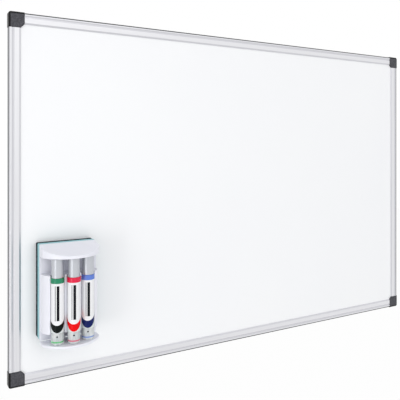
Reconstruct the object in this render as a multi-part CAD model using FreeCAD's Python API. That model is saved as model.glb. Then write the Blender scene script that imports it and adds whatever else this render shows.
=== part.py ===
import FreeCAD, Part
import math
import os

os.makedirs("parts", exist_ok=True)

# A wall-hung magnetic whiteboard with a magnetic pen holder on its writing face.
# Millimetres. X runs right along the board, Z up, and the wall is the plane Y = 0.
# The board's front faces -Y. The origin is the middle of the board, on the wall.

# Board
board_width = 900.0
board_height = 600.0
sheet_thickness = 0.6
core_thickness = 7.0
backing_thickness = 0.4
panel_clearance = 0.3  # between the panel's edge and the rail's web

# Rails, one extruded profile on all four sides
rail_face = 18.3  # width seen from the front
rail_wall = 1.2
chamber_width = 8.0  # the hollow that takes a bracket's leg
lip_height = 2.8  # from the sheet's face to the rail's highest line
shoulder_radius = 2.6  # round outer edge
bead_width = 4.2
cove_width = 4.2
cove_depth = 0.9
flat_drop = 0.4  # the flat band lies this far below the bead
bevel_width = 2.4
bevel_drop = 1.2
lip_leg_width = 1.4
back_lip_reach = 4.0  # back wall's reach behind the panel, past the web

# Corner caps and brackets
cap_reach = 6.0  # a cap's reach along a rail, past the rail's inner edge
cap_proud = 0.7  # a cap stands this far outside and in front of the rails
cap_wall = 1.6
cap_corner_radius = 4.0
cap_bevel = 1.5
rail_gap = 0.2  # between a cap and the rail that butts against it
fit_clearance = 0.2  # bracket in cap, leg in chamber
sheet_clearance = 0.3  # cap's inner edge over the sheet
bracket_plate = 4.0
bracket_leg = 40.0  # leg's length inside a rail
wall_screw_radius = 2.6  # clearance hole for a 5 mm screw
screw_head_radius = 5.2
wall_screw_inset = 13.0  # hole's distance from both outer edges

# Wiping pad of the pen holder
holder_inset = 43.0  # pad's left edge from the board's left edge
holder_rise = 72.0  # base's underside from the board's lower edge
pad_foot = 5.0  # pad's lower edge over the base's underside
pad_width = 92.0
felt_thickness = 11.0
foam_floor = 8.0  # foam left between a magnet and the felt
pad_corner_radius = 1.5
felt_clearance = 0.2  # felt over the sheet
magnet_length = 60.0
magnet_height = 14.0
magnet_thickness = 5.0
magnet_clearance = 0.2
magnet_height_shares = (0.25, 0.75)  # of the pad's height

# Holder mouldings
plate_thickness = 3.0
holder_depth = 46.0  # D-shaped base and top, from the back plate to the front
holder_side = 17.0  # straight side of the D
base_thickness = 4.0
top_wall = 1.6
top_rise = 14.0  # the top's surface falls this far from back to front
top_round = 1.4
moulding_round = 0.8
lower_gap = 16.0  # from the base to the clip block
upper_gap = 27.0  # from the clip block to the top's rim
block_inset = 1.0  # clip block's sides from the pad's sides
block_side = 6.0  # straight stretch of the clip block's sides, before they curve in
block_cheek = 2.2
block_rib_drop = 5.0  # ribs between the pens end this far behind the middle pen's axis
block_wall = 2.4
boss_width = 8.0
boss_depth = 10.0
boss_height = 12.0

# Holder screws
screw_radius = 1.5
screw_clearance = 0.1
screw_countersink = 3.0
screw_countersink_depth = 1.6
screw_bite = 8.0  # thread's reach past the back plate

# Pens
pen_pitch = 24.5
pen_front_room = 5.8  # from the middle pen's barrel to the holder's front
middle_pen_step = 6.0  # the middle pen stands this much further out
pen_clearance = 0.3
tail_length = 19.0
barrel_length = 76.5
collar_height = 8.0
barrel_radius = 10.2
barrel_wall = 1.2
collar_proud = 0.5
collar_round = 0.6
tail_step = 0.4
tail_round = 0.9
spigot_length = 7.0
spigot_wall = 1.2
spigot_clearance = 0.15
pen_cap_radius = 9.4
pen_cap_wall = 1.2
pen_cap_round = 1.4
pen_cap_clearance = 0.3
pen_cap_gap = 0.2
cap_headroom = 5.5  # free height over a cap, under the top
rim_clearance = 0.4  # top's rim over a docked cap
neck_length = 9.0
cone_length = 8.0
cone_wall = 1.4
nib_radius = 2.5
nib_tip = 6.0
nib_clearance = 0.05
cap_tip_room = 5.8  # free height over the nib inside the cap
tail_wall = 1.4
tail_partition = 1.5
button_recess = 0.8
button_height = 6.5
button_clearance = 0.3
bulb_clearance = 1.6
bulb_fold = 2.8
reservoir_clearance = 0.3

overrun = 1.0  # cuts run past a face by this much

# Sizes worked out from the driving ones
panel_thickness = backing_thickness + core_thickness + sheet_thickness
sheet_front = rail_wall + panel_thickness
rail_depth = sheet_front + lip_height
rail_flat = rail_depth - flat_drop
rail_inner = cap_proud + rail_face
rail_ceiling = rail_depth - cove_depth - rail_wall
web_outer = cap_proud + rail_wall + chamber_width
web_inner = web_outer + rail_wall
panel_inset = web_inner + panel_clearance
panel_corner = 2 * (rail_inner - panel_inset)
cap_size = rail_inner + cap_reach
cap_front = rail_depth + cap_proud
rail_end = cap_size + rail_gap

foam_thickness = foam_floor + magnet_thickness
plate_back = felt_clearance + felt_thickness + foam_thickness
plate_front = plate_back + plate_thickness
holder_left = holder_inset - board_width / 2
holder_bottom = holder_rise - board_height / 2
collar_low = tail_length + barrel_length
collar_top = collar_low + collar_height
cap_length = neck_length + cone_length + nib_tip + cap_tip_room + pen_cap_wall
pen_length = collar_top + cap_length
pen_low = base_thickness + pen_clearance
caps_top = pen_low + pen_length
rim_low = caps_top + rim_clearance
pen_reach = holder_depth - pen_front_room - barrel_radius - middle_pen_step
middle_cap_front = pen_reach + middle_pen_step + pen_cap_radius
front_fall = (holder_depth - middle_cap_front) * top_rise / holder_depth
top_front_edge = caps_top + cap_headroom + top_wall - front_fall
pad_height = top_front_edge + top_rise
pen_acrosses = [pad_width / 2 + step * pen_pitch for step in (-1, 0, 1)]
pen_outs = [plate_front + pen_reach + step * middle_pen_step for step in (0, 1, 0)]
channel_radius = barrel_radius + collar_proud + pen_clearance
spigot_radius = barrel_radius - barrel_wall - spigot_clearance
tail_bore = barrel_radius - tail_step - tail_wall
bulb_radius = tail_bore - bulb_clearance
bulb_neck = bulb_radius - bulb_fold
block_low = base_thickness + lower_gap
block_top = rim_low - upper_gap
screw_acrosses = [pad_width / 2 + side * pen_pitch / 2 for side in (-1, 1)]
base_screw_up = base_thickness + boss_height / 2
block_screw_up = (block_low + block_top) / 2
top_screw_up = rim_low + boss_height / 2
screw_ups = [base_screw_up, block_screw_up, top_screw_up]
x_axis = FreeCAD.Vector(1, 0, 0)
y_axis = FreeCAD.Vector(0, 1, 0)
z_axis = FreeCAD.Vector(0, 0, 1)
origin = FreeCAD.Vector(0, 0, 0)


def save(shape, node):
    shape.exportStep("parts/" + node + ".step")


def one_solid(shape):
    return shape.removeSplitter().Solids[0]


def loop_edges(points):
    return [Part.makeLine(a, b) for a, b in zip(points, points[1:] + points[:1])]


def arc(start, middle, end):
    return Part.Arc(start, middle, end).toShape()


def face_of(edges):
    return Part.Face(Part.Wire(Part.__sortEdges__(edges)))


def prism(points, height):
    return face_of(loop_edges(points)).extrude(height)


def lathe(radii_and_heights):
    points = [FreeCAD.Vector(radius, 0, height) for radius, height in radii_and_heights]
    return face_of(loop_edges(points)).revolve(origin, z_axis, 360)


def close(a, b):
    return abs(a - b) < fit_clearance


def edges_at(shape, height):
    level = [edge for edge in shape.Edges if close(edge.BoundBox.ZLength, 0)]
    return [edge for edge in level if close(edge.BoundBox.ZMin, height)]


def outermost(circles):
    widest = max(circle.Curve.Radius for circle in circles)
    return [circle for circle in circles if close(circle.Curve.Radius, widest)]


# Board panel

def panel_layer(back, thickness):
    half_width = board_width / 2 - panel_inset
    half_height = board_height / 2 - panel_inset
    points = []
    for x, z in ((1, 1), (1, -1), (-1, -1), (-1, 1)):
        near_side = FreeCAD.Vector(x * (half_width - panel_corner), -back, z * half_height)
        far_side = FreeCAD.Vector(x * half_width, -back, z * (half_height - panel_corner))
        points += [near_side, far_side] if x == z else [far_side, near_side]
    return prism(points, FreeCAD.Vector(0, -thickness, 0))


# Rails: the profile is drawn for the top side and turned about Y

def rail_profile(edge):
    def at(inward, forward):
        return FreeCAD.Vector(0, -forward, edge - inward)

    shoulder_middle = shoulder_radius * (1 - math.sqrt(0.5))
    cove_start = cap_proud + bead_width
    cove_end = cove_start + cove_width
    shoulder_low = at(cap_proud, rail_depth - shoulder_radius)
    shoulder_top = at(cap_proud + shoulder_radius, rail_depth)
    cove_left = at(cove_start, rail_depth)
    cove_right = at(cove_end, rail_flat)
    cove_middle = at((cove_start + cove_end) / 2, rail_depth - cove_depth)
    inside = [
        cove_right,
        at(rail_inner - bevel_width, rail_flat),
        at(rail_inner, rail_flat - bevel_drop),
        at(rail_inner, sheet_front),
        at(rail_inner - lip_leg_width, sheet_front),
        at(rail_inner - lip_leg_width, rail_ceiling),
        at(web_inner, rail_ceiling),
        at(web_inner, rail_wall),
        at(web_inner + back_lip_reach, rail_wall),
        at(web_inner + back_lip_reach, 0),
        at(cap_proud, 0),
        shoulder_low,
    ]
    edges = [Part.makeLine(a, b) for a, b in zip(inside, inside[1:])]
    rounded = at(cap_proud + shoulder_middle, rail_depth - shoulder_middle)
    edges.append(arc(shoulder_low, rounded, shoulder_top))
    edges.append(Part.makeLine(shoulder_top, cove_left))
    edges.append(arc(cove_left, cove_middle, cove_right))
    chamber = [
        at(cap_proud + rail_wall, rail_wall),
        at(web_outer, rail_wall),
        at(web_outer, rail_ceiling),
        at(cap_proud + rail_wall, rail_ceiling),
    ]
    return face_of(edges).cut(face_of(loop_edges(chamber)))


def rail(length, edge, turn):
    shape = rail_profile(edge).extrude(FreeCAD.Vector(length, 0, 0))
    shape.translate(FreeCAD.Vector(-length / 2, 0, 0))
    shape.rotate(origin, y_axis, turn)
    return one_solid(shape)


# Corners: drawn for the top left corner and turned about Y to the others

def corner_point(along, down, forward):
    return FreeCAD.Vector(along, -forward, -down)


def corner_outline(forward):
    turn = cap_corner_radius * (1 - math.sqrt(0.5))
    arc_start = corner_point(0, cap_corner_radius, forward)
    arc_end = corner_point(cap_corner_radius, 0, forward)
    points = [
        arc_end,
        corner_point(cap_size, 0, forward),
        corner_point(cap_size, rail_inner, forward),
        corner_point(rail_inner, cap_size, forward),
        corner_point(0, cap_size, forward),
        arc_start,
    ]
    edges = [Part.makeLine(a, b) for a, b in zip(points, points[1:])]
    edges.append(arc(arc_start, corner_point(turn, turn, forward), arc_end))
    return face_of(edges)


def corner_loop(low, high):
    # square with its outer corner cut off, so that it stays inside the round corner
    return [
        corner_point(low + cap_corner_radius, low, 0),
        corner_point(high, low, 0),
        corner_point(high, high, 0),
        corner_point(low, high, 0),
        corner_point(low, low + cap_corner_radius, 0),
    ]


def corner_cap():
    shell = corner_outline(0).extrude(FreeCAD.Vector(0, -cap_front, 0))
    front_edges = [edge for edge in shell.Edges if close(edge.BoundBox.YMax, -cap_front)]
    shell = shell.makeChamfer(cap_bevel, front_edges)
    under = cap_front - cap_wall
    hollow = prism(corner_loop(cap_wall, cap_size + overrun), FreeCAD.Vector(0, -under, 0))
    # the slanted inner edge keeps a skirt that ends just over the sheet
    slant = rail_inner + cap_size
    skirt_inner = slant - 2 * cap_wall
    skirt = [
        corner_point(cap_size, slant - cap_size, sheet_front + sheet_clearance),
        corner_point(slant - cap_size, cap_size, sheet_front + sheet_clearance),
        corner_point(skirt_inner - cap_size, cap_size, sheet_front + sheet_clearance),
        corner_point(cap_size, skirt_inner - cap_size, sheet_front + sheet_clearance),
    ]
    skirt_height = under - sheet_front - sheet_clearance
    return one_solid(shell.cut(hollow).fuse(prism(skirt, FreeCAD.Vector(0, -skirt_height, 0))))


def corner_bracket():
    low = cap_wall + fit_clearance
    slant = 2 * rail_inner - 2 * panel_clearance
    outline = corner_loop(low, cap_size)
    slant_ends = [corner_point(cap_size, slant - cap_size, 0), corner_point(slant - cap_size, cap_size, 0)]
    outline = outline[:2] + slant_ends + outline[3:]
    shape = prism(outline, FreeCAD.Vector(0, -bracket_plate, 0))
    leg_low = cap_proud + rail_wall + fit_clearance
    leg_width = chamber_width - 2 * fit_clearance
    leg_back = rail_wall + fit_clearance
    leg_front = rail_ceiling - fit_clearance
    leg_start = low + cap_corner_radius
    leg_end = rail_end + bracket_leg
    leg_length = leg_end - leg_start
    leg_depth = leg_front - leg_back
    across_start = corner_point(leg_start, leg_low + leg_width, leg_front)
    down_start = corner_point(leg_low, leg_end, leg_front)
    across = Part.makeBox(leg_length, leg_depth, leg_width, across_start)
    down = Part.makeBox(leg_width, leg_depth, leg_length, down_start)
    shape = shape.fuse([across, down])
    hole_start = corner_point(wall_screw_inset, wall_screw_inset, cap_front)
    hole = Part.makeCylinder(wall_screw_radius, cap_front + overrun, hole_start, y_axis)
    head = Part.makeCylinder(screw_head_radius, cap_front - bracket_plate, hole_start, y_axis)
    return one_solid(shape.cut([hole, head]))


def at_corner(shape, corner, quarter):
    placed = shape.copy()
    placed.rotate(origin, y_axis, 90 * quarter)
    x = board_width / 2 if corner.endswith("right") else -board_width / 2
    z = board_height / 2 if corner.startswith("top") else -board_height / 2
    placed.translate(FreeCAD.Vector(x, 0, z))
    return placed


# Pen holder: across runs right from its left edge, out from the sheet's face, up from its underside

def spot(across, out, up):
    return FreeCAD.Vector(holder_left + across, -(sheet_front + out), holder_bottom + up)


def holder_block(across, out, up):
    corner = spot(across[0], out[1], up[0])
    return Part.makeBox(across[1] - across[0], out[1] - out[0], up[1] - up[0], corner)


def pad_slab(out, thickness):
    slab = holder_block((0, pad_width), (out, out + thickness), (pad_foot, pad_height))
    thick_edges = [edge for edge in slab.Edges if close(edge.BoundBox.YLength, thickness)]
    return slab.makeFillet(pad_corner_radius, thick_edges)


def magnet_blocks(clearance):
    half_length = magnet_length / 2 + clearance
    half_height = magnet_height / 2 + clearance
    out = (plate_back - magnet_thickness - clearance, plate_back)
    across = (pad_width / 2 - half_length, pad_width / 2 + half_length)
    middles = [pad_foot + share * (pad_height - pad_foot) for share in magnet_height_shares]
    return [holder_block(across, out, (middle - half_height, middle + half_height)) for middle in middles]


def d_face(inset, up):
    half = pad_width / 2
    sag = holder_depth - holder_side
    radius = (half ** 2 + sag ** 2) / (2 * sag)
    front = plate_front + holder_depth
    inner_radius = radius - inset
    side_out = front - radius + math.sqrt(inner_radius ** 2 - (half - inset) ** 2)
    left_back = spot(inset, plate_front + inset, up)
    left_side = spot(inset, side_out, up)
    right_side = spot(pad_width - inset, side_out, up)
    right_back = spot(pad_width - inset, plate_front + inset, up)
    edges = [
        Part.makeLine(left_back, left_side),
        arc(left_side, spot(half, front - inset, up), right_side),
        Part.makeLine(right_side, right_back),
        Part.makeLine(right_back, left_back),
    ]
    return face_of(edges)


def under_slope(drop):
    front = plate_front + holder_depth
    points = [
        spot(0, plate_front, rim_low - overrun),
        spot(0, plate_front, pad_height - drop),
        spot(0, front, top_front_edge - drop),
        spot(0, front, rim_low - overrun),
    ]
    return prism(points, FreeCAD.Vector(pad_width, 0, 0))


def screw_bosses(up):
    out = (plate_front, plate_front + boss_depth)
    halves = (-boss_width / 2, boss_width / 2)
    return [holder_block([middle + half for half in halves], out, up) for middle in screw_acrosses]


def pilot_holes(screw_up):
    length = screw_bite + screw_clearance + overrun
    starts = [spot(across, plate_front - overrun, screw_up) for across in screw_acrosses]
    return [Part.makeCylinder(screw_radius + screw_clearance, length, start, -y_axis) for start in starts]


def holder_top():
    rim = d_face(0, rim_low).extrude(FreeCAD.Vector(0, 0, pad_height - rim_low)).common(under_slope(0))
    back = -(sheet_front + plate_front)
    outer = [edge for edge in rim.Edges if edge.BoundBox.YMin < back - moulding_round]
    upper = [edge for edge in outer if edge.BoundBox.ZMin > holder_bottom + top_front_edge - moulding_round]
    rim = rim.makeFillet(top_round, upper)
    rim = rim.makeFillet(moulding_round, edges_at(rim, holder_bottom + rim_low))
    hollow = d_face(top_wall, rim_low - overrun).extrude(FreeCAD.Vector(0, 0, pad_height))
    hollow = hollow.common(under_slope(top_wall))
    bosses = [boss.common(under_slope(0)) for boss in screw_bosses((rim_low, pad_height))]
    return one_solid(rim.cut(hollow).fuse(bosses).cut(pilot_holes(top_screw_up)))


def holder_base():
    plate = d_face(0, 0).extrude(FreeCAD.Vector(0, 0, base_thickness))
    lower = edges_at(plate, holder_bottom)
    upper = edges_at(plate, holder_bottom + base_thickness)
    plate = plate.makeFillet(moulding_round, lower + upper)
    bosses = screw_bosses((base_thickness / 2, base_thickness + boss_height))
    return one_solid(plate.fuse(bosses).cut(pilot_holes(base_screw_up)))


def pen_clip_block():
    side_axis = pen_outs[0]
    middle_axis = pen_outs[1]
    rib_front = middle_axis - block_rib_drop
    cheek = pen_acrosses[0] - channel_radius - block_cheek
    rib = pen_acrosses[1] - channel_radius
    bend = plate_front + block_side
    # each side leaves its straight stretch without a kink and curves in to the cheek
    lean = math.atan2(cheek - block_inset, side_axis - bend)
    bulge = math.hypot(cheek - block_inset, side_axis - bend) / 2 * math.tan(lean / 2)
    curve_across = (block_inset + cheek) / 2 - bulge * math.cos(lean)
    curve_out = (bend + side_axis) / 2 + bulge * math.sin(lean)

    def side_edges(place):
        points = [
            spot(place(block_inset), plate_front, block_low),
            spot(place(block_inset), bend, block_low),
            spot(place(cheek), side_axis, block_low),
            spot(place(rib), rib_front, block_low),
        ]
        curve = arc(points[1], spot(place(curve_across), curve_out, block_low), points[2])
        return points, [Part.makeLine(points[0], points[1]), curve, Part.makeLine(points[2], points[3])]

    left, left_edges = side_edges(lambda across: across)
    right, right_edges = side_edges(lambda across: pad_width - across)
    closing = [Part.makeLine(left[0], right[0]), Part.makeLine(left[3], right[3])]
    height = block_top - block_low
    shape = face_of(left_edges + right_edges + closing).extrude(FreeCAD.Vector(0, 0, height))
    cuts = []
    for across, out in zip(pen_acrosses, pen_outs):
        channel = (across - channel_radius, across + channel_radius)
        full_height = (block_low - overrun, block_top + overrun)
        foot = spot(across, out, block_low - overrun)
        cuts.append(Part.makeCylinder(channel_radius, height + 2 * overrun, foot, z_axis))
        cuts.append(holder_block(channel, (out, middle_axis + overrun), full_height))
        pocket_half = (pen_pitch - boss_width) / 2
        pocket = (across - pocket_half, across + pocket_half)
        pocket_out = (plate_front - overrun, out - channel_radius - block_wall)
        cuts.append(holder_block(pocket, pocket_out, (block_low + block_wall, block_top - block_wall)))
    return one_solid(shape.cut(cuts + pilot_holes(block_screw_up)))


def back_plate():
    shape = pad_slab(plate_back, plate_thickness)
    cuts = []
    for up in screw_ups:
        for across in screw_acrosses:
            start = spot(across, plate_back, up)
            hole_radius = screw_radius + screw_clearance
            sink_radius = screw_countersink + screw_clearance
            cuts.append(Part.makeCylinder(hole_radius, plate_thickness + overrun, start, -y_axis))
            cuts.append(Part.makeCone(sink_radius, hole_radius, screw_countersink_depth, start, -y_axis))
    return one_solid(shape.cut(cuts))


def holder_screw(across, up):
    shape = lathe(
        [
            (0, 0),
            (screw_countersink, 0),
            (screw_radius, screw_countersink_depth),
            (screw_radius, plate_thickness + screw_bite - screw_radius),
            (0, plate_thickness + screw_bite),
        ]
    )
    shape.rotate(origin, x_axis, 90)
    shape.translate(spot(across, plate_back, up))
    return shape


# Pens: drawn on the Z axis, tail down, and then set in their channels

def pen_barrel():
    inner = barrel_radius - barrel_wall
    return lathe(
        [
            (inner, tail_length),
            (barrel_radius, tail_length),
            (barrel_radius, collar_low),
            (inner, collar_low),
        ]
    )


def pen_collar():
    neck_radius = pen_cap_radius - pen_cap_wall - pen_cap_clearance
    bore = nib_radius + nib_clearance
    neck_top = collar_top + neck_length
    shape = lathe(
        [
            (bore, collar_low),
            (spigot_radius - spigot_wall, collar_low),
            (spigot_radius - spigot_wall, collar_low - spigot_length),
            (spigot_radius, collar_low - spigot_length),
            (spigot_radius, collar_low),
            (barrel_radius + collar_proud, collar_low),
            (barrel_radius + collar_proud, collar_top),
            (neck_radius, collar_top),
            (neck_radius, neck_top),
            (bore + cone_wall, neck_top + cone_length),
            (bore, neck_top + cone_length),
        ]
    )
    rims = edges_at(shape, collar_low) + edges_at(shape, collar_top)
    return shape.makeFillet(collar_round, outermost(rims))


def pen_nib():
    shoulder = collar_top + neck_length + cone_length + nib_tip - nib_radius
    lower = FreeCAD.Vector(nib_radius, 0, shoulder)
    tip = FreeCAD.Vector(0, 0, shoulder + nib_radius)
    middle = FreeCAD.Vector(nib_radius * math.sqrt(0.5), 0, shoulder + nib_radius * math.sqrt(0.5))
    foot = FreeCAD.Vector(0, 0, collar_low)
    foot_edge = FreeCAD.Vector(nib_radius, 0, collar_low)
    edges = [
        Part.makeLine(foot, foot_edge),
        Part.makeLine(foot_edge, lower),
        arc(lower, middle, tip),
        Part.makeLine(tip, foot),
    ]
    return face_of(edges).revolve(origin, z_axis, 360)


def pen_reservoir():
    radius = barrel_radius - barrel_wall - reservoir_clearance
    low = tail_length + spigot_length + reservoir_clearance
    high = collar_low - spigot_length - reservoir_clearance
    return lathe([(0, low), (radius, low), (radius, high), (0, high)])


def pen_tail():
    outer = barrel_radius - tail_step
    partition = tail_length - tail_partition
    shape = lathe(
        [
            (tail_bore, 0),
            (outer, 0),
            (outer, tail_length),
            (spigot_radius, tail_length),
            (spigot_radius, tail_length + spigot_length),
            (spigot_radius - spigot_wall, tail_length + spigot_length),
            (spigot_radius - spigot_wall, tail_length),
            (0, tail_length),
            (0, partition),
            (tail_bore, partition),
        ]
    )
    return shape.makeFillet(tail_round, outermost(edges_at(shape, 0)))


def pump_button():
    radius = tail_bore - button_clearance
    button_top = button_recess + button_height
    shape = lathe([(0, button_recess), (radius, button_recess), (radius, button_top), (0, button_top)])
    return shape.makeFillet(button_recess, edges_at(shape, button_recess))


def pump_bulb():
    low = button_recess + button_height
    high = tail_length - tail_partition
    waist = (low + high) / 2
    fold = (high - low) / 4
    return lathe(
        [
            (0, low),
            (bulb_neck, low),
            (bulb_radius, low + fold),
            (bulb_neck, waist),
            (bulb_radius, high - fold),
            (bulb_neck, high),
            (0, high),
        ]
    )


def pen_cap():
    inner = pen_cap_radius - pen_cap_wall
    low = collar_top + pen_cap_gap
    outside = lathe([(0, low), (pen_cap_radius, low), (pen_cap_radius, pen_length), (0, pen_length)])
    outside = outside.makeFillet(pen_cap_round, edges_at(outside, pen_length))
    inside_height = pen_length - pen_cap_wall - low
    hollow = Part.makeCylinder(inner, inside_height + overrun, FreeCAD.Vector(0, 0, low - overrun), z_axis)
    return one_solid(outside.cut(hollow))


def in_channel(shape, index):
    placed = shape.copy()
    placed.translate(spot(pen_acrosses[index], pen_outs[index], pen_low))
    return placed


# Write every node

save(panel_layer(rail_wall, backing_thickness), "backing_sheet")
save(panel_layer(rail_wall + backing_thickness, core_thickness), "core_board")
save(panel_layer(sheet_front - sheet_thickness, sheet_thickness), "writing_sheet")

rail_length_across = board_width - 2 * rail_end
rail_length_up = board_height - 2 * rail_end
save(rail(rail_length_across, board_height / 2, 0), "top_rail")
save(rail(rail_length_up, board_width / 2, 90), "right_rail")
save(rail(rail_length_across, board_height / 2, 180), "bottom_rail")
save(rail(rail_length_up, board_width / 2, 270), "left_rail")

for quarter, corner in enumerate(("top_left", "top_right", "bottom_right", "bottom_left")):
    save(at_corner(corner_bracket(), corner, quarter), corner + "_bracket")
    save(at_corner(corner_cap(), corner, quarter), corner + "_corner_cap")

save(pad_slab(felt_clearance, felt_thickness), "eraser_felt")
foam = pad_slab(felt_clearance + felt_thickness, foam_thickness)
save(one_solid(foam.cut(magnet_blocks(magnet_clearance))), "eraser_foam")
save(Part.makeCompound(magnet_blocks(0)), "holder_magnets")
save(back_plate(), "holder_back_plate")
save(pen_clip_block(), "pen_clip_block")
save(holder_top(), "holder_top")
save(holder_base(), "holder_base")
screws = [holder_screw(across, up) for up in screw_ups for across in screw_acrosses]
save(Part.makeCompound(screws), "holder_screws")

pen_pieces = {
    "pen_barrel": pen_barrel(),
    "pen_collar": pen_collar(),
    "pen_nib": pen_nib(),
    "ink_reservoir": pen_reservoir(),
    "pen_tail": pen_tail(),
    "pump_bulb": pump_bulb(),
    "pump_button": pump_button(),
    "pen_cap": pen_cap(),
}
for index, colour in enumerate(("green", "red", "blue")):
    for piece, shape in pen_pieces.items():
        save(in_channel(shape, index), colour + "_" + piece)

print("board", board_width, board_height, cap_front)
print("holder", pad_width, plate_front + holder_depth, pad_height)
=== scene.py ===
import math

import bmesh
import bpy
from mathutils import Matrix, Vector, noise


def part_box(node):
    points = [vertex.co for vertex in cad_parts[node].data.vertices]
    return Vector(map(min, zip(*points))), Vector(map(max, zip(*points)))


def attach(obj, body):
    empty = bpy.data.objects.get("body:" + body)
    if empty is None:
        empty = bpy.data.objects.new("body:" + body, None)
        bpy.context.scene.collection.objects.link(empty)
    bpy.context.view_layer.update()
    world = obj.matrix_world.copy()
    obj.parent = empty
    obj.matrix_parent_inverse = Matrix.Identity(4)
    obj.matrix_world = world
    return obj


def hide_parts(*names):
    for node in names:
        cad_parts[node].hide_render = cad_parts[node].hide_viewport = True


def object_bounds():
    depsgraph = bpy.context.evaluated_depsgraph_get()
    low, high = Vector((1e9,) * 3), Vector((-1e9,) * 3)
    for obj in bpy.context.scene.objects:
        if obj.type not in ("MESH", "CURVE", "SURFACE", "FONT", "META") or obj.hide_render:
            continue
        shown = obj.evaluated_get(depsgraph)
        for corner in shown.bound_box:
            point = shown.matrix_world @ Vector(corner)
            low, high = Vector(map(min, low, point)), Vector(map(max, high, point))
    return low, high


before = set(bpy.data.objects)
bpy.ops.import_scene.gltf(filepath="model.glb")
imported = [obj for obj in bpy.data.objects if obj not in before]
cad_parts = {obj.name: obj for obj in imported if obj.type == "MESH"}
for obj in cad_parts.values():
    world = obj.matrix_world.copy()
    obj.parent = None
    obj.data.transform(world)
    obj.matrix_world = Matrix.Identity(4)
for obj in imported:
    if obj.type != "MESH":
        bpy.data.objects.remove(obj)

cadBox = [list(corner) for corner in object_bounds()]
mm = 0.001
penColours = ("green", "red", "blue")
cornerNames = ("top_left", "top_right", "bottom_right", "bottom_left")
sideNames = ("top", "bottom", "left", "right")
print("frame loaded, nodes:", len(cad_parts))


def linearColour(hexText):  # sRGB hex to the linear colour that sockets take
    parts = [int(hexText[i:i + 2], 16) / 255 for i in (1, 3, 5)]
    return [c / 12.92 if c <= 0.04045 else ((c + 0.055) / 1.055) ** 2.4 for c in parts] + [1.0]


def addNode(tree, kind, links=None, **settings):  # a link from a node means its first output
    node = tree.nodes.new("ShaderNode" + kind)
    for name, value in settings.items():
        setattr(node, name, value)
    for name, source in (links or {}).items():
        if isinstance(source, bpy.types.Node):
            source = source.outputs[0]
        if isinstance(source, bpy.types.NodeSocket):
            tree.links.new(source, node.inputs[name])
        else:
            node.inputs[name].default_value = source
    return node


def newMaterial(name):
    material = bpy.data.materials.new(name)
    material.use_nodes = True
    material.node_tree.nodes.clear()
    return material, material.node_tree


def closeMaterial(tree, shader, height=None, bump=(0.0, 0.0)):  # bump is its strength and its depth
    if height is not None:
        relief = addNode(tree, "Bump", {"Height": height, "Strength": bump[0], "Distance": bump[1]})
        tree.links.new(relief.outputs["Normal"], shader.inputs["Normal"])
    addNode(tree, "OutputMaterial", {"Surface": shader})


def dress(nodeName, material):  # put a material in every slot of a CAD node
    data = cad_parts[nodeName].data
    if not data.materials:
        data.materials.append(material)
    for i in range(len(data.materials)):
        data.materials[i] = material


def insideOutline(tree, axes):  # a point's distance inside the board's sides, and inside its top and bottom
    distances = []
    for axis in (0, 2):
        fromMiddle = addNode(tree, "Math", {0: axes.outputs[axis]}, operation="ABSOLUTE")
        distances.append(addNode(tree, "Math", {0: cadBox[1][axis], 1: fromMiddle}, operation="SUBTRACT"))
    return distances


# writing sheet

sheetLook = {
    "white": "#FAFBFC",
    "shade": "#F7F8FB",
    "cloud": 260 * mm,
    "roughness": (0.26, 0.34),
    "peel": 2.5 * mm,
    "bump": (0.05, 0.05 * mm),
}


def lacqueredSteel(look):
    # baked white lacquer on steel: clean, evenly white, a soft gloss with a trace of orange peel
    material, tree = newMaterial("lacquered steel, baked white")
    place = addNode(tree, "TexCoord").outputs["Object"]
    cloud = addNode(tree, "TexNoise", {"Vector": place, "Scale": 1 / look["cloud"], "Detail": 2.0})
    peel = addNode(tree, "TexNoise", {"Vector": place, "Scale": 1 / look["peel"], "Detail": 1.0})
    tone = addNode(tree, "Mix", {
        0: cloud, 6: linearColour(look["white"]), 7: linearColour(look["shade"])}, data_type="RGBA")
    smooth, dull = look["roughness"]
    wiped = addNode(tree, "MapRange", {"Value": cloud, "To Min": smooth, "To Max": dull})
    shader = addNode(tree, "BsdfPrincipled", {
        "Base Color": tone.outputs[2], "Roughness": wiped, "IOR": 1.5})
    closeMaterial(tree, shader, peel, look["bump"])
    return material


dress("writing_sheet", lacqueredSteel(sheetLook))
print("sheet dressed")


# rails

railLook = {
    "silver": "#EFEFF2",
    "lineSilver": "#E3E3E7",
    # painted shade: the recess and the faces that turn from straight out get this darker grey
    "recessShade": "#D6D6DB",
    "recessMiddle": 7.0 * mm,  # from the board's outline
    "recessHalf": 2.1 * mm,
    "flatTurn": (-0.90, -0.99),  # the normal's Y part where the painted shade fades, and where it is gone
    # painted shade: a dark grey along the outer edge and a lighter dark grey down the outer wall, for the
    # dark reflection along the frame's outside; the band's width is set side by side
    "edge": "#56575B",
    "wall": "#7B7C80",
    "wallTurn": (-0.30, -0.70),  # the same, where the outer wall ends and the edge is full
    "edgeWidth": {"top": 3.4 * mm, "bottom": 3.4 * mm, "left": 1.4 * mm, "right": 4.8 * mm},
    "edgeFade": 0.5 * mm,
    "lineSpacing": 0.6 * mm,
    "lineLength": 120 * mm,
    "roughness": (0.34, 0.46),
    "bump": (0.12, 0.04 * mm),
}


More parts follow.
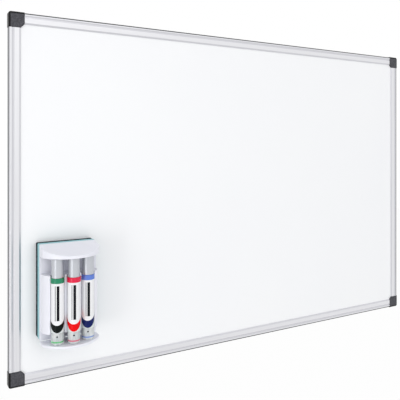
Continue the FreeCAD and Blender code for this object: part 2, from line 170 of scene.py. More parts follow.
def anodisedAluminium(side, look):
    # extruded, belt-brushed on the flat faces, then anodised: satin silver with fine lines along the rail.
    # Painted shade: a darker grey in the recess and on the faces that turn from straight out, and a dark grey
    # along the outer edge and down the outer wall, for the darker reflections these faces show.
    # The lines are about 0.1 mm apart, drawn coarser so that they show
    material, tree = newMaterial("aluminium, extruded, brushed and anodised, " + side)
    coords = addNode(tree, "TexCoord")
    axes = addNode(tree, "SeparateXYZ", {0: coords.outputs["Object"]})
    fromSide, fromTop = insideOutline(tree, axes)
    inward = addNode(tree, "Math", {0: fromSide, 1: fromTop}, operation="MINIMUM")
    along = addNode(tree, "Math", {0: fromSide, 1: fromTop}, operation="MAXIMUM")
    across = addNode(tree, "CombineXYZ", {0: inward, 1: axes.outputs[1]})
    fine = addNode(tree, "VectorMath", {0: across, "Scale": 1 / look["lineSpacing"]}, operation="SCALE")
    length = addNode(tree, "Math", {0: along, 1: look["lineLength"]}, operation="DIVIDE")
    lines = addNode(tree, "VectorMath", {
        0: fine, 1: addNode(tree, "CombineXYZ", {2: length})}, operation="ADD")
    streak = addNode(tree, "TexNoise", {"Vector": lines, "Scale": 1.0, "Detail": 2.0})
    tone = addNode(tree, "Mix", {
        0: streak, 6: linearColour(look["silver"]), 7: linearColour(look["lineSilver"])}, data_type="RGBA")
    facing = addNode(tree, "SeparateXYZ", {0: coords.outputs["Normal"]}).outputs[1]
    # painted shade: the recess and every face that turns from straight out get the darker grey
    flat = addNode(tree, "MapRange", {
        "Value": facing, "From Min": look["flatTurn"][0], "From Max": look["flatTurn"][1]})
    inRecess = addNode(tree, "Math", {
        0: inward, 1: look["recessMiddle"], 2: look["recessHalf"]}, operation="COMPARE")
    brushed = addNode(tree, "Math", {0: flat, 1: inRecess}, operation="SUBTRACT", use_clamp=True)
    shadedSilver = addNode(tree, "Mix", {
        0: brushed, 6: linearColour(look["recessShade"]), 7: tone.outputs[2]}, data_type="RGBA")
    turned = addNode(tree, "MapRange", {
        "Value": facing, "From Min": look["wallTurn"][0], "From Max": look["wallTurn"][1]})
    # painted shade along the outer edge and down the outer wall
    outerShade = addNode(tree, "Mix", {
        0: turned, 6: linearColour(look["wall"]), 7: linearColour(look["edge"])}, data_type="RGBA")
    edgeEnd = look["edgeWidth"][side]
    inside = addNode(tree, "MapRange", {
        "Value": inward, "From Min": edgeEnd - look["edgeFade"], "From Max": edgeEnd})
    colour = addNode(tree, "Mix", {0: inside, 6: outerShade.outputs[2], 7: shadedSilver.outputs[2]}, data_type="RGBA")
    smooth, dull = look["roughness"]
    satin = addNode(tree, "MapRange", {"Value": streak, "To Min": smooth, "To Max": dull})
    shader = addNode(tree, "BsdfPrincipled", {
        "Base Color": colour.outputs[2], "Metallic": 1.0, "Roughness": satin})
    closeMaterial(tree, shader, streak, look["bump"])
    return material


for side in sideNames:
    dress(side + "_rail", anodisedAluminium(side, railLook))
print("rails dressed")


# corner caps and the brackets under them

capLook = {
    "grey": "#414146",
    "paleGrey": "#56565B",
    "mottle": 2.0 * mm,
    "mottleRange": (0.35, 0.65),  # of the mottling, from grey to pale
    # painted shade: the outer rim is coloured near black for the shade on the cap's edges
    "rim": "#0C0C0E",
    "rimWidth": 3.4 * mm,
    "rimFade": 0.5 * mm,
    "grain": 0.8 * mm,
    "roughness": (0.34, 0.52),  # on the rim, on the front
    "bump": (0.25, 0.05 * mm),
}
bracketLook = {
    "grey": "#77797C",
    "paleGrey": "#85878A",
    "grain": 1.6 * mm,
    "roughness": 0.55,
    "bump": (0.25, 0.05 * mm),
}


def grainedAbs(look):
    # moulded in a tool that is spark-eroded on the front and polished round the outer rim: the front is
    # a pale, slightly mottled matt grey, the rim glossier. Painted shade: the rim is coloured near black,
    # for the shade on the cap's outer edges. The grain is about 0.1 mm, drawn coarser so that it shows
    material, tree = newMaterial("ABS, grey, moulded with a spark-eroded grain")
    place = addNode(tree, "TexCoord").outputs["Object"]
    grain = addNode(tree, "TexNoise", {"Vector": place, "Scale": 1 / look["grain"], "Detail": 4.0})
    mottle = addNode(tree, "TexNoise", {"Vector": place, "Scale": 1 / look["mottle"], "Detail": 3.0})
    patchy = addNode(tree, "MapRange", {
        "Value": mottle, "From Min": look["mottleRange"][0], "From Max": look["mottleRange"][1]})
    tone = addNode(tree, "Mix", {
        0: patchy, 6: linearColour(look["grey"]), 7: linearColour(look["paleGrey"])}, data_type="RGBA")
    fromSide, fromTop = insideOutline(tree, addNode(tree, "SeparateXYZ", {0: place}))
    inward = addNode(tree, "Math", {0: fromSide, 1: fromTop}, operation="MINIMUM")
    rimEnd = look["rimWidth"]
    grained = addNode(tree, "MapRange", {
        "Value": inward, "From Min": rimEnd - look["rimFade"], "From Max": rimEnd})
    # painted shade: near black round the rim
    colour = addNode(tree, "Mix", {
        0: grained, 6: linearColour(look["rim"]), 7: tone.outputs[2]}, data_type="RGBA")
    smooth, dull = look["roughness"]
    matt = addNode(tree, "MapRange", {"Value": grained, "To Min": smooth, "To Max": dull})
    shader = addNode(tree, "BsdfPrincipled", {
        "Base Color": colour.outputs[2], "Roughness": matt, "IOR": 1.53, "Specular IOR Level": 0.18})
    closeMaterial(tree, shader, grain, look["bump"])
    return material


def filledNylon(look):
    # nylon with chopped glass: mid grey, matt, mottled by the fibres near its skin
    material, tree = newMaterial("nylon, glass filled, moulded")
    place = addNode(tree, "TexCoord").outputs["Object"]
    mottle = addNode(tree, "TexNoise", {
        "Vector": place, "Scale": 1 / look["grain"], "Detail": 4.0, "Distortion": 1.0})
    tone = addNode(tree, "Mix", {
        0: mottle, 6: linearColour(look["grey"]), 7: linearColour(look["paleGrey"])}, data_type="RGBA")
    shader = addNode(tree, "BsdfPrincipled", {
        "Base Color": tone.outputs[2], "Roughness": look["roughness"], "IOR": 1.53})
    closeMaterial(tree, shader, mottle, look["bump"])
    return material


capMaterial = grainedAbs(capLook)
bracketMaterial = filledNylon(bracketLook)
for corner in cornerNames:
    dress(corner + "_corner_cap", capMaterial)
    dress(corner + "_bracket", bracketMaterial)
print("corners dressed")


# back of the board

backLook = {
    "zinc": "#B3B7BA",
    "paleZinc": "#C1C5C8",
    "spangle": 9 * mm,
    "roughness": (0.34, 0.52),
    "bump": (0.08, 0.05 * mm),
}
coreLook = {
    "brown": "#8A6A48",
    "paleBrown": "#A98A63",
    "fibre": 1.2 * mm,
    "roughness": 0.85,
    "bump": (0.4, 0.1 * mm),
}


def galvanisedSteel(look):
    # hot-dip zinc: grey crystals with straight borders, each a little lighter or darker
    material, tree = newMaterial("steel sheet, hot-dip galvanised")
    place = addNode(tree, "TexCoord").outputs["Object"]
    spangle = addNode(tree, "TexVoronoi", {
        "Vector": place, "Scale": 1 / look["spangle"]}, voronoi_dimensions="3D")
    shade = addNode(tree, "SeparateColor", {0: spangle.outputs["Color"]})
    tone = addNode(tree, "Mix", {
        0: shade, 6: linearColour(look["zinc"]), 7: linearColour(look["paleZinc"])}, data_type="RGBA")
    smooth, dull = look["roughness"]
    frosted = addNode(tree, "MapRange", {"Value": shade.outputs[1], "To Min": smooth, "To Max": dull})
    shader = addNode(tree, "BsdfPrincipled", {
        "Base Color": tone.outputs[2], "Metallic": 1.0, "Roughness": frosted})
    closeMaterial(tree, shader, spangle.outputs["Distance"], look["bump"])
    return material


def pressedFibreboard(look):
    # hot-pressed wood fibre: brown, matt, short fibres lying every way
    material, tree = newMaterial("fibreboard, hot pressed")
    place = addNode(tree, "TexCoord").outputs["Object"]
    fibre = addNode(tree, "TexNoise", {
        "Vector": place, "Scale": 1 / look["fibre"], "Detail": 5.0, "Distortion": 1.5})
    tone = addNode(tree, "Mix", {
        0: fibre, 6: linearColour(look["brown"]), 7: linearColour(look["paleBrown"])}, data_type="RGBA")
    shader = addNode(tree, "BsdfPrincipled", {
        "Base Color": tone.outputs[2], "Roughness": look["roughness"], "IOR": 1.5})
    closeMaterial(tree, shader, fibre, look["bump"])
    return material


dress("backing_sheet", galvanisedSteel(backLook))
dress("core_board", pressedFibreboard(coreLook))
print("back dressed")


# pen holder mouldings, with the magnets and screws inside

holderLook = {
    "white": "#F4F5FC",
    "shade": "#ECEDF7",
    "flow": 35 * mm,
    "grain": 0.9 * mm,
    "roughness": (0.29, 0.39),
    "bump": (0.06, 0.03 * mm),
}
magnetLook = {"black": "#2B2B2D", "grain": 0.7 * mm, "roughness": (0.55, 0.75), "bump": (0.3, 0.05 * mm)}
screwLook = {"zinc": "#B9BCC0", "cloud": 1.1 * mm, "roughness": (0.22, 0.42)}


def whiteAbs(look):
    # moulded white ABS with a cool cast: half-gloss, faint flow clouds, a very fine grain
    material, tree = newMaterial("ABS, white, moulded half-gloss")
    place = addNode(tree, "TexCoord").outputs["Object"]
    flow = addNode(tree, "TexNoise", {"Vector": place, "Scale": 1 / look["flow"], "Detail": 2.0})
    grain = addNode(tree, "TexNoise", {"Vector": place, "Scale": 1 / look["grain"], "Detail": 2.0})
    tone = addNode(tree, "Mix", {
        0: flow, 6: linearColour(look["white"]), 7: linearColour(look["shade"])}, data_type="RGBA")
    smooth, dull = look["roughness"]
    gloss = addNode(tree, "MapRange", {"Value": flow, "To Min": smooth, "To Max": dull})
    shader = addNode(tree, "BsdfPrincipled", {
        "Base Color": tone.outputs[2], "Roughness": gloss, "IOR": 1.53})
    closeMaterial(tree, shader, grain, look["bump"])
    return material


def sinteredFerrite(look):
    # pressed and fired ferrite: charcoal black, matt, slightly gritty
    material, tree = newMaterial("ferrite, pressed and sintered")
    place = addNode(tree, "TexCoord").outputs["Object"]
    grain = addNode(tree, "TexNoise", {"Vector": place, "Scale": 1 / look["grain"], "Detail": 3.0})
    smooth, dull = look["roughness"]
    gritty = addNode(tree, "MapRange", {"Value": grain, "To Min": smooth, "To Max": dull})
    shader = addNode(tree, "BsdfPrincipled", {
        "Base Color": linearColour(look["black"]), "Roughness": gritty, "IOR": 1.8})
    closeMaterial(tree, shader, grain, look["bump"])
    return material


def zincPlatedSteel(look):
    # bright zinc plating over steel: cool silver, slightly clouded
    material, tree = newMaterial("steel, zinc plated")
    place = addNode(tree, "TexCoord").outputs["Object"]
    cloud = addNode(tree, "TexNoise", {"Vector": place, "Scale": 1 / look["cloud"], "Detail": 3.0})
    smooth, dull = look["roughness"]
    clouded = addNode(tree, "MapRange", {"Value": cloud, "To Min": smooth, "To Max": dull})
    shader = addNode(tree, "BsdfPrincipled", {
        "Base Color": linearColour(look["zinc"]), "Metallic": 1.0, "Roughness": clouded})
    closeMaterial(tree, shader)
    return material


holderMaterial = whiteAbs(holderLook)
for nodeName in ("holder_back_plate", "pen_clip_block", "holder_top", "holder_base"):
    dress(nodeName, holderMaterial)
dress("holder_magnets", sinteredFerrite(magnetLook))
dress("holder_screws", zincPlatedSteel(screwLook))
print("holder dressed")


# wiping pad: felt on the sheet, foam behind it

feltLook = {
    "dark": "#021A22",
    "pale": "#052A35",
    "rimLight": "#3F6F7A",
    "sheen": 0.02,
    "fibre": 0.7 * mm,
    "roughness": 0.95,
    "bump": (0.6, 0.3 * mm),
    "spacing": 1.5 * mm,
    "round": 1.2 * mm,
    "fuzz": 0.22 * mm,
    "fuzzSize": 2.2 * mm,
}
foamLook = {
    "teal": "#A6D4D9",
    "deepTeal": "#7FBDC6",
    "cell": 1.0 * mm,
    "cellEdge": 0.6,  # share of a cell's size where its wall starts
    "roughness": 0.8,
    "bump": (0.4, 0.2 * mm),
    "spacing": 1.5 * mm,
    "round": 1.0 * mm,
    "fuzz": 0.10 * mm,
    "fuzzSize": 3.0 * mm,
}
slabLook = {
    "roundSteps": (0.0, 0.1, 0.35, 0.7),  # shares of a round edge
    "fineScale": 2.3,  # the finer ripple, against the coarse one
    "fineShare": 0.5,
    "rippleShare": 0.6,  # how much of the inset the ripple changes
}


def gridLine(low, high, spacing, turn):  # places along one side, closer together in its round ends
    inner = [turn * share for share in slabLook["roundSteps"]]
    straight = high - low - 2 * turn
    count = max(1, round(straight / spacing))
    middle = [low + turn + straight * i / count for i in range(count + 1)]
    return [low + step for step in inner] + middle + [high - step for step in reversed(inner)]


def softSlab(name, nodeName, look):
    low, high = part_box(nodeName)
    turn = look["round"]
    lines = [gridLine(low[i], high[i], look["spacing"], turn) for i in range(3)]
    last = [len(line) - 1 for line in lines]
    mesh = bmesh.new()
    corners = {}

    def corner(index):
        if index not in corners:
            place = Vector([lines[i][index[i]] for i in range(3)])
            core = Vector([min(max(place[i], low[i] + turn), high[i] - turn) for i in range(3)])
            outward = (place - core).normalized()
            coarse = place / look["fuzzSize"]
            ripple = noise.noise(coarse) + slabLook["fineShare"] * noise.noise(coarse * slabLook["fineScale"])
            # the nap only sinks in, so it stays in its own room
            inset = look["fuzz"] * (1.0 - slabLook["rippleShare"] * ripple)
            corners[index] = mesh.verts.new(core + outward * max(turn - inset, 0.0))
        return corners[index]

    for axis in range(3):
        u, v = [i for i in range(3) if i != axis]
        for end in (0, last[axis]):
            for i in range(last[u]):
                for j in range(last[v]):
                    loop = []
                    for du, dv in ((0, 0), (1, 0), (1, 1), (0, 1)):
                        index = [0, 0, 0]
                        index[axis], index[u], index[v] = end, i + du, j + dv
                        loop.append(corner(tuple(index)))
                    mesh.faces.new(loop)
    bmesh.ops.recalc_face_normals(mesh, faces=mesh.faces)
    data = bpy.data.meshes.new(name)
    mesh.to_mesh(data)
    mesh.free()
    for polygon in data.polygons:
        polygon.use_smooth = True
    piece = bpy.data.objects.new(name, data)
    bpy.context.scene.collection.objects.link(piece)
    return piece


def pressedFelt(look):
    # pressed wool felt: nearly black blue-green, matt, tangled fibres that catch a little light at the rim.
    # Its gloss and IOR are under those of one fibre, because the tangle swallows the light
    material, tree = newMaterial("felt, pressed wool, dyed dark")
    place = addNode(tree, "TexCoord").outputs["Object"]
    fibre = addNode(tree, "TexNoise", {
        "Vector": place, "Scale": 1 / look["fibre"], "Detail": 5.0, "Distortion": 2.0})
    tone = addNode(tree, "Mix", {
        0: fibre, 6: linearColour(look["dark"]), 7: linearColour(look["pale"])}, data_type="RGBA")
    shader = addNode(tree, "BsdfPrincipled", {
        "Base Color": tone.outputs[2], "Roughness": look["roughness"], "IOR": 1.3, "Specular IOR Level": 0.1,
        "Sheen Weight": look["sheen"], "Sheen Roughness": 0.5, "Sheen Tint": linearColour(look["rimLight"])})
    closeMaterial(tree, shader, fibre, look["bump"])
    return material


def expandedFoam(look):
    # expanded EVA foam, cut from a block: matt teal, small open cells on the cut faces
    material, tree = newMaterial("EVA foam, expanded and cut")
    place = addNode(tree, "TexCoord").outputs["Object"]
    cell = addNode(tree, "TexVoronoi", {"Vector": place, "Scale": 1 / look["cell"]}, voronoi_dimensions="3D")
    wall = addNode(tree, "MapRange", {"Value": cell.outputs["Distance"], "From Max": look["cellEdge"]})
    tone = addNode(tree, "Mix", {
        0: wall, 6: linearColour(look["deepTeal"]), 7: linearColour(look["teal"])}, data_type="RGBA")
    shader = addNode(tree, "BsdfPrincipled", {
        "Base Color": tone.outputs[2], "Roughness": look["roughness"], "IOR": 1.48})
    closeMaterial(tree, shader, wall, look["bump"])
    return material


feltPad = softSlab("felt_pad", "eraser_felt", feltLook)
feltPad.data.materials.append(pressedFelt(feltLook))
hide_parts("eraser_felt")
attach(feltPad, "holder")
foamPad = softSlab("foam_pad", "eraser_foam", foamLook)
foamPad.data.materials.append(expandedFoam(foamLook))
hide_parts("eraser_foam")
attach(foamPad, "holder")
print("wiping pad made")


# pens

barrelLook = {
    "paper": "#F3F4F6",
    "foot": "#DCE3E3",
    "band": {"green": "#010D0A", "red": "#F00008", "blue": "#12205F"},
    "bar": "#1B1C20",
    "labelTurn": 17.0,  # degrees that the label's middle is turned from straight out
    "labelLow": 12.0 * mm,  # label's lower end over the barrel's foot, at its middle
    "labelRise": 9.5 * mm,  # how far that end climbs at the sides
    "bandLow": 0.5 * mm,
    "bandRise": 13.0 * mm,
    "barAside": 1.2 * mm,
    "barHalf": 2.1 * mm,
    "barMiddle": 46.0 * mm,
    "barReach": 27.0 * mm,
    "ruleAside": -3.0 * mm,
    "ruleHalf": 0.5 * mm,
    "flow": 6 * mm,
    "roughness": (0.2, 0.32),
    "bump": (0.04, 0.05 * mm),
}
collarLook = {
    "colour": {"green": "#14865F", "red": "#E40A40", "blue": "#5F80D6"},
    "flow": 5 * mm,
    "roughness": (0.16, 0.28),
    "bump": (0.05, 0.05 * mm),
}
tailLook = {
    "clear": "#FBFDFD",
    # painted reflection: streaks of this greyer tone along the pen, for reflections inside the clear wall
    "reflectionStreak": "#DCE4E6",
    "reflectionStreakRange": (0.38, 0.62),  # of the flow pattern, from clear to the painted reflection streak
    "ring": {"green": "#7FE09A", "red": "#F58AA2", "blue": "#9DB9F5"},
    "ringMiddle": 4.7 * mm,  # over the pen's end
    "ringHalf": 1.1 * mm,
    "dot": "#17181C",
    "dotMiddle": 13.5 * mm,
    "dotRadius": 1.3 * mm,
    "dotTurn": 17.0,  # degrees, as the label
    "flow": 4 * mm,
    "stretch": 0.3,  # the flow runs along the pen
    "roughness": (0.08, 0.2),
    "clearShare": 0.35,
}
buttonLook = {
    "tint": {"green": "#6FD98C", "red": "#F0577A", "blue": "#7FA4F0"},
    "pale": {"green": "#E9F7EC", "red": "#FBE6EA", "blue": "#E6EDFB"},
    "ringLow": 3.4 * mm,  # tinted from here up, over the button's underside
    "flow": 3 * mm,
    "roughness": (0.25, 0.4),
}
bulbLook = {"milky": "#E8E6E2", "cloud": 3 * mm, "roughness": (0.45, 0.6), "clearShare": 0.2}
penCapLook = {
    "silver": "#BFC2C8",
    "paleSilver": "#CACDD3",
    "flake": 0.3 * mm,
    "flakeShare": 0.5,  # how metallic the spray is
    "roughness": 0.32,
}
inkLook = {
    "colour": {"green": "#0B5A38", "red": "#B00D22", "blue": "#1A2F9A"},
    "fibre": 0.5 * mm,
    "stretch": 0.1,  # fibres are ten times longer than wide
    "roughness": (0.7, 0.95),
    "bump": (0.4, 0.1 * mm),
}


def printedBarrel(colour, look):
    # polypropylene tube printed all round: a white label that ends in a round tongue, colour under it,
    # and a clear foot
    material, tree = newMaterial("polypropylene, screen printed, " + colour)
    low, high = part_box(colour + "_pen_barrel")
    radius = (high.x - low.x) / 2
    foot = ((low.x + high.x) / 2, (low.y + high.y) / 2, low.z)
    place = addNode(tree, "TexCoord").outputs["Object"]
    fromFoot = addNode(tree, "VectorMath", {0: place, 1: foot}, operation="SUBTRACT")
    turned = addNode(tree, "VectorRotate", {
        "Vector": fromFoot, "Angle": math.radians(look["labelTurn"])}, rotation_type="Z_AXIS")
    aside, facing, height = addNode(tree, "SeparateXYZ", {0: turned}).outputs
    # 0 at the label's middle, 1 at its sides, 2 at the back
    around = addNode(tree, "MapRange", {"Value": facing, "From Min": -radius, "From Max": 0.0}, clamp=False)
    labelLine = addNode(tree, "Math", {0: around, 1: -look["labelRise"], 2: height}, operation="MULTIPLY_ADD")
    bandLine = addNode(tree, "Math", {0: around, 1: -look["bandRise"], 2: height}, operation="MULTIPLY_ADD")
    onLabel = addNode(tree, "Math", {0: labelLine, 1: look["labelLow"]}, operation="GREATER_THAN")
    onBand = addNode(tree, "Math", {0: bandLine, 1: look["bandLow"]}, operation="GREATER_THAN")
    # a plain dark bar down the label, with a thin rule beside it
    onBar = addNode(tree, "Math", {0: aside, 1: look["barAside"], 2: look["barHalf"]}, operation="COMPARE")
    onRule = addNode(tree, "Math", {0: aside, 1: look["ruleAside"], 2: look["ruleHalf"]}, operation="COMPARE")
    stripes = addNode(tree, "Math", {0: onBar, 1: onRule}, operation="MAXIMUM")
    ends = addNode(tree, "Math", {0: height, 1: look["barMiddle"], 2: look["barReach"]}, operation="COMPARE")
    inFront = addNode(tree, "Math", {0: facing, 1: 0.0}, operation="LESS_THAN")
    printed = addNode(tree, "Math", {0: ends, 1: inFront}, operation="MULTIPLY")
    inked = addNode(tree, "Math", {0: stripes, 1: printed}, operation="MULTIPLY")
    footed = addNode(tree, "Mix", {
        0: onBand, 6: linearColour(look["foot"]), 7: linearColour(look["band"][colour])}, data_type="RGBA")
    labelled = addNode(tree, "Mix", {
        0: onLabel, 6: footed.outputs[2], 7: linearColour(look["paper"])}, data_type="RGBA")
    barred = addNode(tree, "Mix", {
        0: inked, 6: labelled.outputs[2], 7: linearColour(look["bar"])}, data_type="RGBA")
    flow = addNode(tree, "TexNoise", {"Vector": place, "Scale": 1 / look["flow"], "Detail": 2.0})
    smooth, dull = look["roughness"]
    gloss = addNode(tree, "MapRange", {"Value": flow, "To Min": smooth, "To Max": dull})
    shader = addNode(tree, "BsdfPrincipled", {
        "Base Color": barred.outputs[2], "Roughness": gloss, "IOR": 1.49, "Specular IOR Level": 0.15})
    closeMaterial(tree, shader, flow, look["bump"])
    return material


def glossyCollar(colour, look):
    # polypropylene moulded in a polished tool: solid colour, glossy, a little uneven where it flowed
    material, tree = newMaterial("polypropylene, moulded glossy, " + colour)
    place = addNode(tree, "TexCoord").outputs["Object"]
    flow = addNode(tree, "TexNoise", {"Vector": place, "Scale": 1 / look["flow"], "Detail": 2.0})
    smooth, dull = look["roughness"]
    gloss = addNode(tree, "MapRange", {"Value": flow, "To Min": smooth, "To Max": dull})
    shader = addNode(tree, "BsdfPrincipled", {
        "Base Color": linearColour(look["colour"][colour]), "Roughness": gloss, "IOR": 1.49})
    closeMaterial(tree, shader, flow, look["bump"])
    return material


def clearTail(colour, look):
    # clear polystyrene, moulded: half transparent and whitish, with a tinted ring near its end and a small
    # dark dot above that. Painted reflection: greyer streaks along the pen, for the light reflected inside
    # the clear wall. The IOR is under the usual 1.59, because a thin wall bends the light less than a solid
    # does
    material, tree = newMaterial("polystyrene, clear, moulded, " + colour + " ring")
    low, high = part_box(colour + "_pen_tail")
    end = ((low.x + high.x) / 2, (low.y + high.y) / 2, low.z)
    place = addNode(tree, "TexCoord").outputs["Object"]
    fromEnd = addNode(tree, "VectorMath", {0: place, 1: end}, operation="SUBTRACT")
    turned = addNode(tree, "VectorRotate", {
        "Vector": fromEnd, "Angle": math.radians(look["dotTurn"])}, rotation_type="Z_AXIS")
    aside, facing, height = addNode(tree, "SeparateXYZ", {0: turned}).outputs
    inRing = addNode(tree, "Math", {
        0: height, 1: look["ringMiddle"], 2: look["ringHalf"]}, operation="COMPARE")
    overDot = addNode(tree, "Math", {0: height, 1: look["dotMiddle"]}, operation="SUBTRACT")
    fromDot = addNode(tree, "VectorMath", {
        0: addNode(tree, "CombineXYZ", {0: aside, 2: overDot})}, operation="LENGTH").outputs["Value"]
    inDot = addNode(tree, "Math", {0: fromDot, 1: look["dotRadius"]}, operation="LESS_THAN")
    inFront = addNode(tree, "Math", {0: facing, 1: 0.0}, operation="LESS_THAN")
    onDot = addNode(tree, "Math", {0: inDot, 1: inFront}, operation="MULTIPLY")
    lie = addNode(tree, "Mapping", {"Vector": place, "Scale": (1.0, 1.0, look["stretch"])})
    flow = addNode(tree, "TexNoise", {"Vector": lie, "Scale": 1 / look["flow"], "Detail": 2.0})
    # painted reflection: greyer streaks along the pen
    reflectionShare = addNode(tree, "MapRange", {
        "Value": flow, "From Min": look["reflectionStreakRange"][0], "From Max": look["reflectionStreakRange"][1]})
    streaked = addNode(tree, "Mix", {
        0: reflectionShare, 6: linearColour(look["clear"]), 7: linearColour(look["reflectionStreak"])}, data_type="RGBA")
    ringed = addNode(tree, "Mix", {
        0: inRing, 6: streaked.outputs[2], 7: linearColour(look["ring"][colour])}, data_type="RGBA")
    dotted = addNode(tree, "Mix", {
        0: onDot, 6: ringed.outputs[2], 7: linearColour(look["dot"])}, data_type="RGBA")
    smooth, dull = look["roughness"]
    haze = addNode(tree, "MapRange", {"Value": flow, "To Min": smooth, "To Max": dull})
    shader = addNode(tree, "BsdfPrincipled", {
        "Base Color": dotted.outputs[2], "Roughness": haze, "IOR": 1.3,
        "Transmission Weight": look["clearShare"]})
    closeMaterial(tree, shader)
    return material


def pumpButton(colour, look):
    # thin moulded polypropylene: a tinted ring above, nearly colourless below
    material, tree = newMaterial("polypropylene, moulded, " + colour + " ring")
    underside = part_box(colour + "_pump_button")[0].z
    place = addNode(tree, "TexCoord").outputs["Object"]
    height = addNode(tree, "SeparateXYZ", {0: place}).outputs[2]
    inRing = addNode(tree, "Math", {0: height, 1: underside + look["ringLow"]}, operation="GREATER_THAN")
    pale, tint = linearColour(look["pale"][colour]), linearColour(look["tint"][colour])
    tone = addNode(tree, "Mix", {0: inRing, 6: pale, 7: tint}, data_type="RGBA")
    flow = addNode(tree, "TexNoise", {"Vector": place, "Scale": 1 / look["flow"], "Detail": 2.0})
    smooth, dull = look["roughness"]
    gloss = addNode(tree, "MapRange", {"Value": flow, "To Min": smooth, "To Max": dull})
    shader = addNode(tree, "BsdfPrincipled", {
        "Base Color": tone.outputs[2], "Roughness": gloss, "IOR": 1.49})
    closeMaterial(tree, shader)
    return material


def silverCap(look):
    # ABS sprayed silver: pale grey with a fine metallic flake under a satin lacquer.
    # The flake is about 0.05 mm, drawn coarser so that it shows
    material, tree = newMaterial("ABS, silver sprayed")
    place = addNode(tree, "TexCoord").outputs["Object"]
    flake = addNode(tree, "TexVoronoi", {
        "Vector": place, "Scale": 1 / look["flake"]}, voronoi_dimensions="3D")
    shade = addNode(tree, "SeparateColor", {0: flake.outputs["Color"]})
    tone = addNode(tree, "Mix", {
        0: shade, 6: linearColour(look["silver"]), 7: linearColour(look["paleSilver"])}, data_type="RGBA")
    shader = addNode(tree, "BsdfPrincipled", {
        "Base Color": tone.outputs[2], "Metallic": look["flakeShare"], "Roughness": look["roughness"],
        "IOR": 1.5})
    closeMaterial(tree, shader)
    return material


def siliconeRubber(look):
    # moulded silicone: milky, soft sheen
    material, tree = newMaterial("silicone rubber, moulded")
    place = addNode(tree, "TexCoord").outputs["Object"]
    cloud = addNode(tree, "TexNoise", {"Vector": place, "Scale": 1 / look["cloud"], "Detail": 2.0})
    smooth, dull = look["roughness"]
    soft = addNode(tree, "MapRange", {"Value": cloud, "To Min": smooth, "To Max": dull})
    shader = addNode(tree, "BsdfPrincipled", {
        "Base Color": linearColour(look["milky"]), "Roughness": soft, "IOR": 1.41,
        "Transmission Weight": look["clearShare"]})
    closeMaterial(tree, shader)
    return material


def inkedFibre(name, colour, look):
    # bonded fibre soaked with ink: matt, streaked along its length
    material, tree = newMaterial(name + colour)
    place = addNode(tree, "TexCoord").outputs["Object"]
    lie = addNode(tree, "Mapping", {"Vector": place, "Scale": (1.0, 1.0, look["stretch"])})
    fibre = addNode(tree, "TexNoise", {"Vector": lie, "Scale": 1 / look["fibre"], "Detail": 3.0})
    smooth, dull = look["roughness"]
    matt = addNode(tree, "MapRange", {"Value": fibre, "To Min": smooth, "To Max": dull})
    shader = addNode(tree, "BsdfPrincipled", {
        "Base Color": linearColour(look["colour"][colour]), "Roughness": matt, "IOR": 1.45})
    closeMaterial(tree, shader, fibre, look["bump"])
    return material


penCapMaterial = silverCap(penCapLook)
bulbMaterial = siliconeRubber(bulbLook)
for colour in penColours:
    dress(colour + "_pen_barrel", printedBarrel(colour, barrelLook))
    dress(colour + "_pen_collar", glossyCollar(colour, collarLook))
    dress(colour + "_pen_tail", clearTail(colour, tailLook))
    dress(colour + "_pen_cap", penCapMaterial)
    dress(colour + "_pump_button", pumpButton(colour, buttonLook))
    dress(colour + "_pump_bulb", bulbMaterial)
    dress(colour + "_pen_nib", inkedFibre("acrylic fibre nib, ", colour, inkLook))
    dress(colour + "_ink_reservoir", inkedFibre("polyester ink reservoir, ", colour, inkLook))
print("pens dressed")


# floor, light and camera

stageLook = {
    "floor": "#F2F2F2",
    "background": "#FFFFFF",
    "floorHeight": -1.1,
    "floorSize": 16.0,
    "floorWhite": 0.97,  # share of plain white that the camera sees on the floor, the rest keeps the shadow
    "ambient": 0.66,
}
lampLook = {  # the wide lamps aren't mirrored in metal
    "key_lamp": {"place": (0.3, -3.4, 0.3), "size": (2.6, 2.6), "power": 21.0, "mirrored": False},
    "front_lamp": {"place": (0.1, -3.2, 0.9), "size": (1.8, 1.8), "power": 3.0, "mirrored": True},
    "top_lamp": {"place": (-0.5, -2.2, 2.4), "size": (1.6, 1.6), "power": 7.0, "mirrored": True},
    "left_lamp": {"place": (-2.8, -1.4, -0.3), "size": (2.0, 2.0), "power": 12.0, "mirrored": False},
    "strip_lamp": {"place": (-2.1, -1.3, -0.6), "size": (0.3, 1.0), "power": 4.0, "mirrored": True},
}
cameraLook = {
    "place": (-0.6117, -0.8991, 0.08285),
    "tilt": 90.0,  # level
    "turn": -29.97,
    "sensor": 36.0,
    "lens": 48.30,
    "shiftY": -0.131,
    "nearest": 0.01,
}


def seenDirectly(tree):  # 1 for rays that show the background itself, in glass and metal too
    path = addNode(tree, "LightPath")
    either = addNode(tree, "Math", {
        0: path.outputs["Is Camera Ray"], 1: path.outputs["Is Glossy Ray"]}, operation="MAXIMUM")
    return addNode(tree, "Math", {0: either, 1: path.outputs["Is Transmission Ray"]}, operation="MAXIMUM")


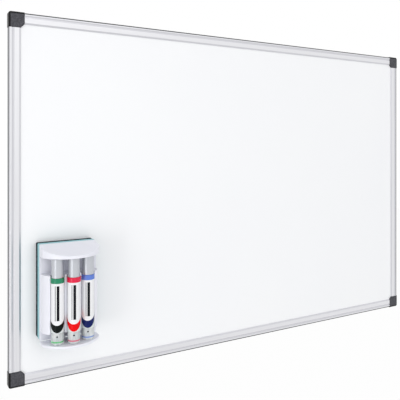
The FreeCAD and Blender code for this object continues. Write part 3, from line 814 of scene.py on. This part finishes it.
world = bpy.data.worlds.new("white studio")
bpy.context.scene.world = world
world.use_nodes = True
worldTree = world.node_tree
worldTree.nodes.clear()
level = addNode(worldTree, "MapRange", {
    "Value": seenDirectly(worldTree), "To Min": stageLook["ambient"], "To Max": 1.0})
sky = addNode(worldTree, "Background", {
    "Color": linearColour(stageLook["background"]), "Strength": level})
addNode(worldTree, "OutputWorld", {"Surface": sky})

half = stageLook["floorSize"] / 2
floorCorners = [(-half, -half, 0), (half, -half, 0), (half, half, 0), (-half, half, 0)]
floorMesh = bpy.data.meshes.new("studio_floor")
floorMesh.from_pydata(floorCorners, [], [(0, 1, 2, 3)])
floor = bpy.data.objects.new("studio_floor", floorMesh)
floor.location.z = stageLook["floorHeight"]
bpy.context.scene.collection.objects.link(floor)
floorMaterial, floorTree = newMaterial("studio floor, matt pale paint")
paint = addNode(floorTree, "BsdfDiffuse", {"Color": linearColour(stageLook["floor"])})
glow = addNode(floorTree, "Emission", {"Color": linearColour(stageLook["background"]), "Strength": 1.0})
share = addNode(floorTree, "MapRange", {
    "Value": seenDirectly(floorTree), "To Min": 0.0, "To Max": stageLook["floorWhite"]})
floorMix = addNode(floorTree, "MixShader", {0: share, 1: paint, 2: glow})
addNode(floorTree, "OutputMaterial", {"Surface": floorMix})
floorMesh.materials.append(floorMaterial)

for lampName, look in lampLook.items():
    lamp = bpy.data.lights.new(lampName, "AREA")
    lamp.shape = "RECTANGLE"
    lamp.size, lamp.size_y = look["size"]
    lamp.energy = look["power"]
    lampObject = bpy.data.objects.new(lampName, lamp)
    lampObject.location = look["place"]
    lampObject.visible_glossy = look["mirrored"]
    lampObject.rotation_mode = "QUATERNION"
    towardsBoard = -Vector(look["place"])
    lampObject.rotation_quaternion = towardsBoard.to_track_quat("-Z", "Y")
    bpy.context.scene.collection.objects.link(lampObject)

cameraData = bpy.data.cameras.new("camera")
cameraData.sensor_width = cameraLook["sensor"]
cameraData.lens = cameraLook["lens"]
cameraData.shift_y = cameraLook["shiftY"]
cameraData.clip_start = cameraLook["nearest"]
camera = bpy.data.objects.new("camera", cameraData)
camera.location = cameraLook["place"]
camera.rotation_euler = (math.radians(cameraLook["tilt"]), 0, math.radians(cameraLook["turn"]))
bpy.context.scene.collection.objects.link(camera)
bpy.context.scene.camera = camera
bpy.context.scene.view_settings.view_transform = "Standard"
print("stage, light and camera set")
